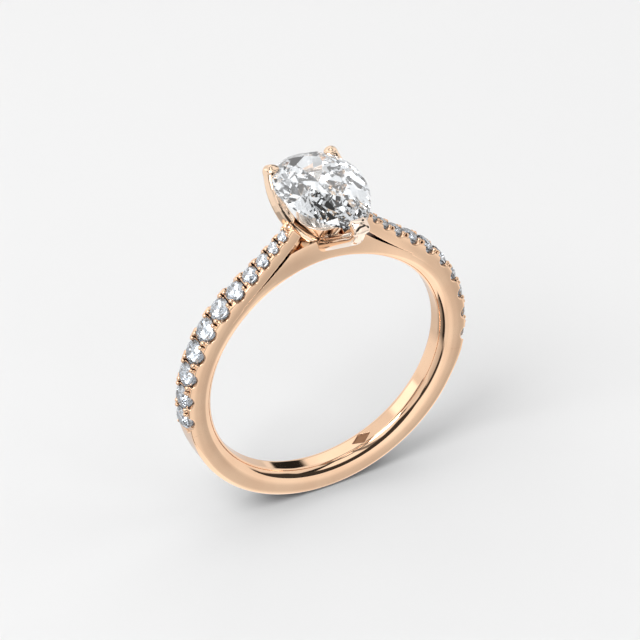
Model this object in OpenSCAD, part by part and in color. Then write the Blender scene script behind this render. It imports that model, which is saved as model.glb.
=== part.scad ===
// Pear-cut solitaire ring with stone-set cathedral shoulders.
// Frame: origin at the centre of the finger hole, Y is the finger axis, +Z points up to the
// stone, X runs across the finger. The point of the pear faces -Y. Lengths in millimetres.

/* [Shank] */
// Inside diameter of the finger hole
finger_d = 17; // [14:0.1:23]
// Width of the band across the finger
band_w = 2.08; // [1.6:0.02:4]
// Radial thickness of the band
band_t = 1.82; // [1.3:0.02:3]
// Width of the band under the stone, where it is narrowest
neck_w = 1.04; // [0.8:0.02:2]
// Rounding of the inner comfort edges
comfort_r = 0.6; // [0.2:0.05:0.8]
// Rounding of the outer edges of the plain part
outer_r = 0.3; // [0.1:0.05:0.8]

/* [Shoulders] */
// Side stones in each shoulder
side_stones = 11; // [4:1:13]
// Diameter of the largest side stones
side_d_max = 1.62; // [1:0.02:2]
// Diameter of the smallest side stones, next to the head
side_d_min = 0.78; // [0.6:0.02:1.2]
// Space between neighbouring side stones
side_gap = 0.12; // [0.05:0.01:0.3]
// Angle of the lowest side stone, measured from the top of the ring
first_angle = 95; // [60:1:120]
// Angle at which the shoulder lifts off the circle of the band
lift_angle = 38; // [30:1:50]
// Radius of the hollow sweep of the lifted shoulder
lift_r = 30; // [15:1:60]
// Depth of the stone-set rail
rail_t = 0.87; // [0.6:0.01:1.2]
// How far each side of the rail is set in from the side of the band
rail_step = 0.04; // [0:0.01:0.1]

/* [Centre stone] */
// Width of the pear
pear_w = 5.7; // [4:0.1:8]
// Distance from the widest line of the pear to its point
pear_point = 5.64; // [4:0.1:8]
// Distance from the widest line of the pear to the top of its round end
pear_round = 3.32; // [2:0.1:5]
// Position of the widest line of the pear along the finger
pear_y = 0.57; // [-1:0.01:1.5]
// Height of the girdle of the pear above the centre of the finger hole
girdle_z = 14.05; // [12:0.05:16]

/* [Claws] */
// Width of each round-end claw
claw_w = 0.8; // [0.5:0.05:1.2]
// Thickness of each round-end claw
claw_t = 0.62; // [0.4:0.02:1]
// Width of the claw at the point of the pear
point_w = 0.9; // [0.6:0.05:1.4]
// Width of the cap that folds over the point of the pear
point_cap_w = 1.12; // [0.8:0.02:1.6]
// Radius of the rim of the small cup under the stone
cup_r = 1.75; // [1.2:0.05:1.9]

/* [Hidden] */
nodes_left = [for (i = [1:side_stones]) str("left_stone_", i)];
nodes_right = [for (i = [1:side_stones]) str("right_stone_", i)];

gold = [0.86, 0.62, 0.47];
diamond = [0.88, 0.93, 0.97];

// Radii of the band
r_in = finger_d / 2;
r_out = r_in + band_t;

// Side stones: graded diameters and their places along the crest of the shoulder
grade_start = 4.5;
grade_span = 7;
function clamp01(u) = max(0, min(1, u));
function smooth(u) = u * u * (3 - 2 * u);
function graded(i) = smooth(clamp01((i - grade_start) / grade_span));
function side_d(i) = side_d_max - (side_d_max - side_d_min) * graded(i);
function along(i) = i <= 1 ? 0 : along(i - 1) + (side_d(i - 1) + side_d(i)) / 2 + side_gap;
crest_round = r_out * (first_angle - lift_angle) * PI / 180;
function lean(s) = s < crest_round
    ? first_angle - s / r_out * 180 / PI
    : lift_angle + (s - crest_round) / lift_r * 180 / PI;
lift_c = (r_out + lift_r) * [sin(lift_angle), cos(lift_angle)];
function crest(s) = s < crest_round
    ? r_out * [sin(lean(s)), cos(lean(s))]
    : lift_c - lift_r * [sin(lean(s)), cos(lean(s))];

// Proportions of a brilliant cut, as fractions of the stone's width
crown_k = 0.155;
pavilion_k = 0.43;
girdle_k = 0.03;
table_k = 0.56;
star_k = 0.745;
star_rise = 0.664;
lower_k = 0.25;
lower_drop = 0.769;

// Clearance between a stone and its seat
fit_gap = 0.01;

// Beads that hold the side stones
bead_angle = 40;
bead_root = 0.3;
bead_h = 0.06;
bead_dome = 0.07;
bead_top = 0.6;
function bead_r(d) = 0.1 + 0.11 * d / 2;
function bead_off(d) = d / 2 + 0.04 + 0.085 * d / 2;

// Scallops under the side stones, and the saw cuts between them
scallop_k = 0.66;
scallop_in = 0.8;
saw_w = 0.16;
saw_depth = 0.3;

// Plan narrowing of the band towards the head
narrow_x = r_in + 0.4;
narrow_m = 0.58 * narrow_x;
narrow_s = (band_w - neck_w) / narrow_x;
narrow_r1 = narrow_m / narrow_s;
narrow_y = neck_w / 2 + narrow_r1 - sqrt(narrow_r1 * narrow_r1 - narrow_m * narrow_m);
narrow_e = band_w / 2 - narrow_y;
narrow_r2 = (pow(narrow_x - narrow_m, 2) + narrow_e * narrow_e) / (2 * narrow_e);

// Lozenge mark inside the band
mark_angle = 159.5;
mark_l = 1.5;
mark_w = 0.9;
mark_depth = 0.07;

// Height of cutting bodies, and how far short ones overrun the metal
tall = 20;
overrun = 1;

// Fineness of round shapes
fn_big = 200;
fn_sweep = 96;
fn_mid = 48;
fn_edge = 32;
fn_small = 24;

// Outline of the pear: t runs 0 to 8 around the stone, 0 at the point, 4 at the round end
wing_r = (pow(pear_point, 2) + pow(pear_w / 2, 2)) / pear_w;
wing_a = asin(pear_point / wing_r);
wing_t = 2.5;
function pear_half(t) = t <= wing_t
    ? let(a = wing_a * (1 - t / wing_t)) [pear_w / 2 - wing_r + wing_r * cos(a), pear_y - wing_r * sin(a)]
    : let(a = 90 * (t - wing_t) / (4 - wing_t)) [pear_w / 2 * cos(a), pear_y + pear_round * sin(a)];
function pear_at(t) = t <= 4 ? pear_half(t) : let(p = pear_half(8 - t)) [-p[0], p[1]];
function disc_at(t, d) = d / 2 * [sin(45 * t), -cos(45 * t)];

// A brilliant over any convex outline of 8 sectors with n girdle points in each
module brilliant(rim, c, w, n) {
    m = 8 * n;
    crown = crown_k * w;
    pavilion = pavilion_k * w;
    half_g = girdle_k * w / 2;
    function scaled(p, k, z) = [c[0] + (p[0] - c[0]) * k, c[1] + (p[1] - c[1]) * k, z];
    function mid(k) = rim[k * n + n / 2];
    table = [for (k = [0:7]) scaled(rim[k * n], table_k, half_g + crown)];
    star = [for (k = [0:7]) scaled(mid(k), star_k, half_g + crown * star_rise)];
    upper = [for (p = rim) [p[0], p[1], half_g]];
    lower = [for (p = rim) [p[0], p[1], -half_g]];
    cut = [for (k = [0:7]) scaled(mid(k), lower_k, -half_g - pavilion * lower_drop)];
    culet = [[c[0], c[1], -half_g - pavilion]];
    s0 = 8;
    u0 = 16;
    l0 = u0 + m;
    c0 = l0 + m;
    last = c0 + 8;
    faces = concat(
        [[for (k = [7:-1:0]) k]],
        [for (k = [0:7]) [s0 + k, k, (k + 1) % 8]],
        [for (k = [0:7]) [k, s0 + k, u0 + k * n]],
        [for (k = [0:7]) [k, u0 + k * n, s0 + (k + 7) % 8]],
        [for (k = [0:7]) for (j = [0:n - 1]) [s0 + k, u0 + (k * n + j + 1) % m, u0 + k * n + j]],
        [for (j = [0:m - 1]) [u0 + j, u0 + (j + 1) % m, l0 + (j + 1) % m, l0 + j]],
        [for (k = [0:7]) for (j = [0:n - 1]) [c0 + k, l0 + k * n + j, l0 + (k * n + j + 1) % m]],
        [for (k = [0:7]) [last, c0 + (k + 7) % 8, l0 + k * n]],
        [for (k = [0:7]) [last, l0 + k * n, c0 + k]]
    );
    polyhedron(concat(table, star, upper, lower, cut, culet), faces);
}

module pear_stone() {
    n = 8;
    rim = [for (j = [0:8 * n - 1]) pear_at(j / n)];
    translate([0, 0, girdle_z])
        brilliant(rim, [0, pear_y], pear_w, n);
}

module round_stone(d) {
    n = 2;
    rim = [for (j = [0:8 * n - 1]) disc_at(j / n, d)];
    brilliant(rim, [0, 0], d, n);
}

// Places its child at side stone i of the right shoulder
module at_stone(i) {
    s = along(i);
    p = crest(s);
    translate([p[0], 0, p[1]])
        rotate([0, lean(s), 0])
            children();
}

module band_section() {
    half = band_w / 2;
    polygon([
        [r_in, -half + comfort_r],
        [r_in + comfort_r, -half],
        [r_out - outer_r, -half],
        [r_out, -half + outer_r],
        [r_out, half - outer_r],
        [r_out - outer_r, half],
        [r_in + comfort_r, half],
        [r_in, half - comfort_r]
    ]);
    for (s = [-1, 1]) {
        translate([r_in + comfort_r, s * (half - comfort_r)])
            circle(r = comfort_r, $fn = fn_mid);
        translate([r_out - outer_r, s * (half - outer_r)])
            circle(r = outer_r, $fn = fn_mid);
    }
}

// Half-width of the band seen from above: two arcs, drawn as short straight steps
function half_at(x) = x < narrow_m
    ? neck_w / 2 + narrow_r1 - sqrt(narrow_r1 * narrow_r1 - x * x)
    : band_w / 2 - narrow_r2 + sqrt(narrow_r2 * narrow_r2 - pow(narrow_x - x, 2));

// Metal outside the waisted plan, one quadrant
module waist_quadrant() {
    steps = 10;
    edge = [for (k = [0:steps]) [narrow_x * k / steps, half_at(narrow_x * k / steps)]];
    polygon(concat(edge, [[narrow_x, band_w], [0, band_w]]));
}

module waist_cut() {
    linear_extrude(height = tall)
        for (a = [0, 1], b = [0, 1])
            mirror([a, 0, 0])
                mirror([0, b, 0])
                    waist_quadrant();
}

// Ends of the rail: the angle where its tail runs out, and its length past the highest stone
rail_reach = first_angle + 6.4;
rail_past = 0.75;
far = 2 * r_out;
function polar(r, a) = r * [sin(a), cos(a)];

// Side view of the rail on the right: round part, lifted part, and the metal that joins them
module rail_side() {
    end_s = along(side_stones) + side_d(side_stones) / 2 + rail_past;
    end_p = crest(end_s);
    end_n = polar(1, lean(end_s));
    end_cover = 1.02;
    key_in = 0.1;
    key_span = 2;
    intersection() {
        difference() {
            circle(r = r_out, $fn = fn_big);
            circle(r = r_out - rail_t, $fn = fn_big);
        }
        polygon([[0, 0], polar(far, lift_angle), [far, far], polar(far, rail_reach)]);
    }
    intersection() {
        difference() {
            translate(lift_c)
                circle(r = lift_r + rail_t, $fn = fn_big);
            translate(lift_c)
                circle(r = lift_r, $fn = fn_big);
        }
        polygon([
            polar(r_out - 2 * rail_t, lift_angle),
            polar(r_out + rail_t, lift_angle),
            end_p + rail_t * end_n,
            end_p,
            end_p - end_cover * rail_t * end_n
        ]);
    }
    polygon([
        polar(r_out - key_in, lift_angle + key_span),
        polar(r_out - key_in, lift_angle - key_span),
        polar(r_out - rail_t + key_in, lift_angle - key_span),
        polar(r_out - rail_t + key_in, lift_angle + key_span)
    ]);
}

// Side view of everything above the underside of the rail on the right
module rail_pocket() {
    difference() {
        polygon([[0, 0], polar(far, lift_angle), [far, far], polar(far, rail_reach)]);
        circle(r = r_out - rail_t, $fn = fn_big);
    }
    intersection() {
        translate(lift_c)
            circle(r = lift_r + rail_t, $fn = fn_big);
        polygon([
            polar(r_out - 2 * rail_t, lift_angle - 1),
            polar(far, lift_angle + 1),
            [0, far],
            [0, r_out]
        ]);
    }
}

module rail_blank() {
    difference() {
        rotate([90, 0, 0])
            linear_extrude(height = 1.5 * band_w, center = true)
                rail_side();
        linear_extrude(height = 2 * tall, center = true)
            for (b = [0, 1])
                mirror([0, b, 0])
                    translate([0, -rail_step]) {
                        waist_quadrant();
                        translate([narrow_x, band_w / 2])
                            square([tall, band_w]);
                    }
    }
}

// The seat of one side stone: the stone's own envelope with a little clearance
module seat(d) {
    r = d / 2 + fit_gap;
    foot = -girdle_k * d - fit_gap;
    rotate_extrude($fn = fn_mid)
        polygon([
            [0, foot - pavilion_k * d],
            [r, foot],
            [r, 0],
            [table_k * d / 2, crown_k * d],
            [0, crown_k * d]
        ]);
}

module scallops(d) {
    r = scallop_k * d / 2;
    for (s = [0, 1])
        mirror([0, s, 0])
            translate([0, scallop_in * d / 2, 0])
                rotate([-90, 0, 0])
                    linear_extrude(height = band_w) {
                        circle(r = r, $fn = fn_mid);
                        translate([-r, -d])
                            square([2 * r, d]);
                    }
}

module beads(d) {
    r = bead_r(d);
    for (a = [bead_angle, 180 - bead_angle, 180 + bead_angle, -bead_angle])
        rotate([0, 0, a])
            translate([bead_off(d), 0, 0]) {
                translate([0, 0, -bead_root])
                    cylinder(r = r, h = bead_root + bead_h, $fn = fn_small);
                translate([0, 0, bead_h])
                    cylinder(r1 = r, r2 = bead_top * r, h = bead_dome, $fn = fn_small);
            }
}

module saw_cut(i) {
    s = (along(i) + along(i + 1)) / 2;
    p = crest(s);
    w = scallop_in * side_d(i + 1);
    translate([p[0], 0, p[1]])
        rotate([0, lean(s), 0])
            translate([-saw_w / 2, -w / 2, -saw_depth])
                cube([saw_w, w, overrun]);
}

module lozenge_mark() {
    rotate([0, mark_angle, 0])
        translate([0, 0, r_in - overrun])
            linear_extrude(height = overrun + mark_depth)
                polygon([[-mark_l / 2, 0], [0, -mark_w / 2], [mark_l / 2, 0], [0, mark_w / 2]]);
}

module band() {
    color(gold)
        difference() {
            rotate([90, 0, 0])
                rotate_extrude($fn = fn_big)
                    band_section();
            waist_cut();
            for (a = [0, 1])
                mirror([a, 0, 0])
                    rotate([90, 0, 0])
                        linear_extrude(height = 2 * band_w, center = true)
                            rail_pocket();
            lozenge_mark();
            point_body();
        }
}

module right_rail() {
    color(gold)
        difference() {
            union() {
                rail_blank();
                for (i = [1:side_stones])
                    at_stone(i)
                        beads(side_d(i));
            }
            for (i = [1:side_stones])
                at_stone(i) {
                    seat(side_d(i));
                    scallops(side_d(i));
                }
            for (i = [1:side_stones - 1])
                saw_cut(i);
            mirror([1, 0, 0])
                claw_bar();
        }
}

module left_rail() {
    mirror([1, 0, 0])
        right_rail();
}

// Round-end claw: one circular bar through foot, bend and tip
claw_foot = [-0.62, 0.1, 10.1];
claw_bend = [-2.3, 1.05, 12.15];
claw_tip = [-2.22, 3.02, 14.25];
claw_pad_r = 0.46;
claw_u = claw_bend - claw_foot;
claw_v = claw_tip - claw_foot;
claw_n = cross(claw_u, claw_v);
claw_c = claw_foot + (cross(claw_n, claw_u) * (claw_v * claw_v) + cross(claw_v, claw_n) * (claw_u * claw_u))
    / (2 * (claw_n * claw_n));
claw_r = norm(claw_foot - claw_c);
claw_z = claw_n / norm(claw_n);
claw_x = (claw_foot - claw_c) / claw_r;
claw_y = cross(claw_z, claw_x);
claw_sweep = 2 * asin(norm(claw_v) / (2 * claw_r));

module claw_section() {
    round_r = 0.2;
    t = claw_t / 2;
    w = claw_w / 2;
    polygon([
        [-t + round_r, -w], [t - round_r, -w], [t, -w + round_r], [t, w - round_r],
        [t - round_r, w], [-t + round_r, w], [-t, w - round_r], [-t, -w + round_r]
    ]);
    for (a = [-1, 1], b = [-1, 1])
        translate([a * (t - round_r), b * (w - round_r)])
            circle(r = round_r, $fn = fn_edge);
}

module claw_bar() {
    multmatrix([
        [claw_x[0], claw_y[0], claw_z[0], claw_c[0]],
        [claw_x[1], claw_y[1], claw_z[1], claw_c[1]],
        [claw_x[2], claw_y[2], claw_z[2], claw_c[2]],
        [0, 0, 0, 1]
    ])
        rotate_extrude(angle = claw_sweep, $fn = fn_sweep)
            translate([claw_r, 0])
                claw_section();
}

module left_claw() {
    color(gold)
        difference() {
            union() {
                claw_bar();
                translate(claw_tip)
                    sphere(r = claw_pad_r, $fn = fn_mid);
            }
            pear_stone();
            translate([0, -tall / 2, 0])
                cube(tall);
            rotate([90, 0, 0])
                cylinder(r = r_out, h = tall, center = true, $fn = fn_big);
            point_body();
        }
}

module right_claw() {
    mirror([1, 0, 0])
        left_claw();
}

// Claw at the point of the pear: a keel from the front of the band, swept up to the point
keel_foot_z = 9.3;
keel_top_z = 10.45;
keel_y = -neck_w / 2 + 0.12;
keel_out = -5.38;
keel_rise = 38;
keel_bend = 1.9;
keel_thick = 0.72;
keel_over = 0.3;
keel_turns = 6;
point_cap_r = 0.5;
point_cap_up = 0.1;

module keel_side() {
    low = [keel_y, keel_foot_z];
    bend_c = [keel_out + keel_bend, keel_foot_z + (keel_y - keel_out - keel_bend) * tan(keel_rise)
        + keel_bend / cos(keel_rise)];
    turn = [for (a = [0:keel_rise / keel_turns:90 - keel_rise])
        bend_c + keel_bend * [-sin(keel_rise + a), -cos(keel_rise + a)]];
    back = [for (a = [90 - keel_rise:-keel_rise / keel_turns:0])
        bend_c + (keel_bend - keel_thick) * [-sin(keel_rise + a), -cos(keel_rise + a)]];
    top_z = girdle_z + keel_over;
    top = [[keel_out, top_z], [keel_out + keel_thick, top_z]];
    polygon(concat([low], turn, top, back, [[keel_y, keel_top_z]]));
}

// Small cup that rises from the band under the culet, with the claws around it
cup_foot = [0.3, 10];
cup_rim_z = 12;
cup_wall = 0.3;
cup_floor_z = 10.4;

module cup() {
    rotate_extrude($fn = fn_mid)
        polygon([
            [0, cup_foot[1]],
            cup_foot,
            [cup_r, cup_rim_z],
            [cup_r - cup_wall, cup_rim_z],
            [0, cup_floor_z]
        ]);
}

module point_body() {
    cup();
    rotate([90, 0, 90])
        linear_extrude(height = point_w, center = true)
            keel_side();
    translate([0, keel_out + point_cap_r, girdle_z + point_cap_up])
        rotate([0, 90, 0])
            cylinder(r = point_cap_r, h = point_cap_w, center = true, $fn = fn_mid);
}

module point_claw() {
    color(gold)
        difference() {
            point_body();
            pear_stone();
        }
}

module centre_stone() {
    color(diamond)
        pear_stone();
}

module left_stone(i) {
    mirror([1, 0, 0])
        right_stone(i);
}

module right_stone(i) {
    color(diamond)
        at_stone(i)
            translate([0, 0, -girdle_k * side_d(i) / 2])
                round_stone(side_d(i));
}

band();
left_rail();
right_rail();
left_claw();
right_claw();
point_claw();
centre_stone();
for (i = [1:side_stones]) {
    left_stone(i);
    right_stone(i);
}
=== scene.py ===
"""Looks of the pear-cut engagement ring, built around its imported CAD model.

All shape sizes are millimetres in the CAD frame: origin at the centre of the finger hole, Y along
the finger, +Z up to the centre stone. Meshes are scaled to metres when they are made. The metal is
modelled as distance fields, which are meshed and then pulled exactly onto their zero surface.
"""

import math

import bmesh
import bpy
import numpy as np
import openvdb
from mathutils import Matrix, Vector


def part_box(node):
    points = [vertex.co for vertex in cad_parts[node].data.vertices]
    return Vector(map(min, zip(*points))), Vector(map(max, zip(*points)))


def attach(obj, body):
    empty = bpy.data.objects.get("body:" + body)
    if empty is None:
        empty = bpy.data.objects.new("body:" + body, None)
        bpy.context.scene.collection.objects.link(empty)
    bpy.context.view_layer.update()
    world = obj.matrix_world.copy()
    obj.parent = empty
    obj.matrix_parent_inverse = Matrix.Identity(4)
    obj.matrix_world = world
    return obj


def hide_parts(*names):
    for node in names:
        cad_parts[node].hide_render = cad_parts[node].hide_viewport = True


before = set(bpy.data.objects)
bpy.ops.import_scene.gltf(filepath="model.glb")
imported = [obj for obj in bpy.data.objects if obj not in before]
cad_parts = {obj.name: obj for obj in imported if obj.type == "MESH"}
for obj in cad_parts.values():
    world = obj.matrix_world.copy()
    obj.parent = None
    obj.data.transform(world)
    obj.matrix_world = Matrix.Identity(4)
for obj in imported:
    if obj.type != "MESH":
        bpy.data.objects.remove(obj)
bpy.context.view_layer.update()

MM = 0.001

# ---------------------------------------------------------------- driving dimensions, in mm
band_lo, band_hi = (np.array(c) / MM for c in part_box("band"))
pear_lo, pear_hi = (np.array(c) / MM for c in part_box("centre_stone"))

BAND_W = band_hi[1] - band_lo[1]
R_OUT = -band_lo[2]
R_IN = 8.5
NECK_W = 1.04
COMFORT_R = 0.6
OUTER_R = 0.3
# Radius at which the width of each cross-section is read, and the edge rounding below the rails
WIDTH_R = 9.3
HIDDEN_R = 0.008

SIDE_STONES = sum(name.startswith("right_stone_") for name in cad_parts)
SIDE_D_MAX = 1.62
SIDE_D_MIN = 0.78
SIDE_GAP = 0.12
FIRST_ANGLE = math.radians(95)
LIFT_ANGLE = math.radians(38)
LIFT_R = 30.0
RAIL_T = 0.87
RAIL_END = FIRST_ANGLE + math.radians(6.4)
# Depth of the groove under the lifted rail, and the angle over which it deepens
RAIL_GAP = 0.3
RAIL_GAP_SPAN = math.radians(26)
# How far the rail reaches into the band, and how far it stays inside the band's side faces
RAIL_KEY = 0.1
SKIN = 0.004
# Upper end of the right rail in XZ, and the direction it faces
RAIL_TOP = (2.45, 12.15)
RAIL_TOP_N = (0.79, 0.61)

PEAR_W = pear_hi[0] - pear_lo[0]
PEAR_POINT = 5.64
PEAR_ROUND = 3.32
PEAR_Y = pear_lo[1] + PEAR_POINT
GIRDLE_Z = 14.05

# Proportions of a brilliant cut, as fractions of the stone's width
CROWN = 0.155
PAVILION = 0.43
GIRDLE = 0.03
TABLE = 0.56
UPPER_INSET = 0.36
LOWER_INSET = 0.93
STAR_ANGLE = math.radians(22)

# Setting of the side stones. Scallops are fractions of the stone's radius, the rest is in mm
SCALLOP_R = 0.72
SCALLOP_UP = 0.3
SCALLOP_IN = 0.8
SEAT_GAP = 0.01
BEAD_ANGLE = math.radians(40)
BEAD_UP = 0.03
BEAD_ROOT = 0.3
SLIT_W = 0.09
SLIT_DEPTH = 0.32
POINT_LENGTH = 0.62
POINT_DEPTH = 0.16
HOLLOW_R = 0.3
HOLLOW_BEYOND = 0.78

# Plain lozenge inside the band
MARK_ANGLE = math.radians(159.5)
MARK_L = 1.5
MARK_W = 0.9
MARK_DEPTH = 0.07


# ---------------------------------------------------------------- shared curves of the ring
def smooth_step(u):
    """Eases from 0 to 1 as u goes from 0 to 1."""
    u = np.clip(u, 0, 1)
    return u * u * (3 - 2 * u)


def side_d(i):
    """Diameter of side stone i, counted from the lowest."""
    return SIDE_D_MAX - (SIDE_D_MAX - SIDE_D_MIN) * float(smooth_step((i - 4.5) / 7))


def along(i):
    """Arc length along the crest of the shoulder to the middle of side stone i."""
    return sum((side_d(k) + side_d(k - 1)) / 2 + SIDE_GAP for k in range(2, i + 1))


CREST_ROUND = R_OUT * (FIRST_ANGLE - LIFT_ANGLE)
LIFT_X = (R_OUT + LIFT_R) * math.sin(LIFT_ANGLE)
LIFT_Z = (R_OUT + LIFT_R) * math.cos(LIFT_ANGLE)


def lean(s):
    """Angle of the crest of the shoulder at arc length s: a round part, then a lifted one."""
    if s < CREST_ROUND:
        return FIRST_ANGLE - s / R_OUT
    return LIFT_ANGLE + (s - CREST_ROUND) / LIFT_R


def crest(s):
    """Point (x, z) of the crest of the right shoulder."""
    a = lean(s)
    if s < CREST_ROUND:
        return R_OUT * math.sin(a), R_OUT * math.cos(a)
    return LIFT_X - LIFT_R * math.sin(a), LIFT_Z - LIFT_R * math.cos(a)


# The band narrows towards the head along two arcs, inside and outside NARROW_M
NARROW_X = R_IN + 0.4
NARROW_M = 0.58 * NARROW_X
NARROW_R1 = NARROW_M / ((BAND_W - NECK_W) / NARROW_X)
NARROW_Y = NECK_W / 2 + NARROW_R1 - math.sqrt(NARROW_R1**2 - NARROW_M**2)
NARROW_E = BAND_W / 2 - NARROW_Y
NARROW_R2 = ((NARROW_X - NARROW_M) ** 2 + NARROW_E**2) / (2 * NARROW_E)


def half_at(x, z):
    """Half-width of the band: two arcs in plan over the upper half, full width below."""
    x = np.abs(x)
    inner = NECK_W / 2 + NARROW_R1 - np.sqrt(NARROW_R1**2 - np.minimum(x, NARROW_M) ** 2)
    rest = np.clip(NARROW_X - x, 0, NARROW_X - NARROW_M)
    outer = BAND_W / 2 - NARROW_R2 + np.sqrt(NARROW_R2**2 - rest**2)
    w = np.where(x < NARROW_M, inner, outer)
    return np.where(z < 0, BAND_W / 2, w)


SIDE_MID = R_IN + COMFORT_R + (R_OUT - R_IN - COMFORT_R) / 2
SIDE_HALF = (R_OUT - R_IN - COMFORT_R) / 2
SIDE_BULGE = 0.053


def taper(r):
    """Share of the half-width at radius r: the side faces are very slightly domed."""
    t = (r - SIDE_MID) / SIDE_HALF
    return 1 - SIDE_BULGE * np.where(t < -1, -2 * t - 1, t * t)


CRISP_R = 0.06


def edge_round(angle):
    """Rounding of the band's outer edges: crisp beside the stones, soft on the plain part."""
    return CRISP_R + (OUTER_R - CRISP_R) * smooth_step((np.abs(angle) - RAIL_END + 0.03) / math.radians(16))


# ---------------------------------------------------------------- distance fields
def round_max(a, b, r):
    """Intersection of two fields with its edge rounded to radius r."""
    a = a + r
    b = b + r
    return np.minimum(np.maximum(a, b), 0) + np.sqrt(np.maximum(a, 0) ** 2 + np.maximum(b, 0) ** 2) - r


def round_min(a, b, r):
    """Union of two fields with a fillet of radius r."""
    return -round_max(-a, -b, r)


def segment(p, a, b):
    """Squared distance to a segment and the place along it, 0 to 1."""
    a, b = np.asarray(a, np.float32), np.asarray(b, np.float32)
    d = b - a
    t = sum((p[k] - a[k]) * d[k] for k in range(len(p))) / float(d @ d)
    t = np.clip(t, 0, 1)
    return sum((p[k] - a[k] - t * d[k]) ** 2 for k in range(len(p))), t


def ribbon(p, path, thick, width, normal, r):
    """A bar along a flat path: thick in its plane, width across it, with edges rounded by r."""
    normal = np.asarray(normal, float) / np.linalg.norm(normal)
    origin = path[0]
    off = sum((p[k] - origin[k]) * normal[k] for k in range(3))
    flat = [p[k] - off * normal[k] for k in range(3)]
    best = wide = None
    for i in range(len(path) - 1):
        d2, t = segment(flat, path[i], path[i + 1])
        d = np.sqrt(d2) - (thick[i] + (thick[i + 1] - thick[i]) * t) / 2
        w = (width[i] + (width[i + 1] - width[i]) * t) / 2
        if best is None:
            best, wide = d, w
        else:
            wide = np.where(d < best, w, wide)
            best = np.minimum(best, d)
    return round_max(best, np.abs(off) - wide, r)


def mesh_field(field, lo, hi, cell, name):
    """Meshes field(x, y, z) < 0 within a box, then moves each vertex onto the zero surface."""
    lo, hi = np.array(lo, float), np.array(hi, float)
    counts = np.ceil((hi - lo) / cell).astype(int) + 1
    axes = [(lo[k] + cell * np.arange(counts[k])).astype(np.float32) for k in range(3)]
    values = np.empty(counts, np.float32)
    slab = 24
    for start in range(0, counts[0], slab):
        x = axes[0][start : start + slab]
        block = np.meshgrid(x, axes[1], axes[2], indexing="ij")
        values[start : start + slab] = field(*block)
    reach = 3.0
    grid = openvdb.FloatGrid(background=reach)
    grid.copyFromArray(np.clip(values / cell, -reach, reach), tolerance=0.0)
    points, quads = grid.convertToQuads(isovalue=0.0)
    v = points.astype(np.float64) * cell + lo
    h = cell * 0.2
    for _ in range(3):
        here, grad = gradient(field, v, h)
        length2 = np.maximum((grad**2).sum(1), 0.25)
        move = np.clip(here / length2, -cell / 2, cell / 2)
        v -= grad * move[:, None]
    return new_mesh(name, v, quads[:, ::-1])


def gradient(field, v, h):
    """Value and gradient of a field at many points."""
    here = field(*v.T)
    grad = np.empty_like(v)
    for k in range(3):
        step = np.zeros(3)
        step[k] = h
        grad[:, k] = (field(*(v + step).T) - field(*(v - step).T)) / (2 * h)
    return here, grad


def new_mesh(name, v, faces):
    """A smooth-shaded object in metres from millimetre vertices."""
    mesh = bpy.data.meshes.new(name)
    mesh.from_pydata((np.asarray(v) * MM).tolist(), [], np.asarray(faces).tolist())
    mesh.validate()
    mesh.update()
    bm = bmesh.new()
    bm.from_mesh(mesh)
    bmesh.ops.recalc_face_normals(bm, faces=bm.faces)
    bm.to_mesh(mesh)
    bm.free()
    mesh.shade_smooth()
    piece = bpy.data.objects.new(name, mesh)
    bpy.context.scene.collection.objects.link(piece)
    return piece


def mirrored(piece, name):
    """A copy of a piece on the other side of the YZ plane."""
    mesh = piece.data.copy()
    mesh.transform(Matrix.Diagonal((-1, 1, 1, 1)))
    mesh.flip_normals()
    copy = bpy.data.objects.new(name, mesh)
    bpy.context.scene.collection.objects.link(copy)
    return copy


def paint(piece, material, chosen):
    """Gives the faces whose centres chosen(x, y, z) picks, in mm, a second material."""
    mesh = piece.data
    centres = np.empty(len(mesh.polygons) * 3)
    mesh.polygons.foreach_get("center", centres)
    picked = chosen(*(centres.reshape(-1, 3).T / MM))
    indices = np.empty(len(mesh.polygons), np.int32)
    mesh.polygons.foreach_get("material_index", indices)
    indices[picked] = len(mesh.materials)
    mesh.materials.append(material)
    mesh.polygons.foreach_set("material_index", indices)


def settle(piece, material, slot, *nodes):
    """Gives a piece its material, hangs it under the root body and hides the CAD nodes it stands in for."""
    piece.data.materials.append(material)
    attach(piece, "root")
    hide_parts(*nodes)


# ---------------------------------------------------------------- stones
def cut(bm, point, normal):
    """Grinds one facet: everything beyond the plane is removed and the cut is closed."""
    geom = bm.verts[:] + bm.edges[:] + bm.faces[:]
    out = bmesh.ops.bisect_plane(
        bm, geom=geom, dist=1e-7, plane_co=Vector(point), plane_no=Vector(normal), clear_outer=True
    )
    edges = [e for e in out["geom_cut"] if isinstance(e, bmesh.types.BMEdge)]
    if edges:
        bmesh.ops.contextual_create(bm, geom=edges)


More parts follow.
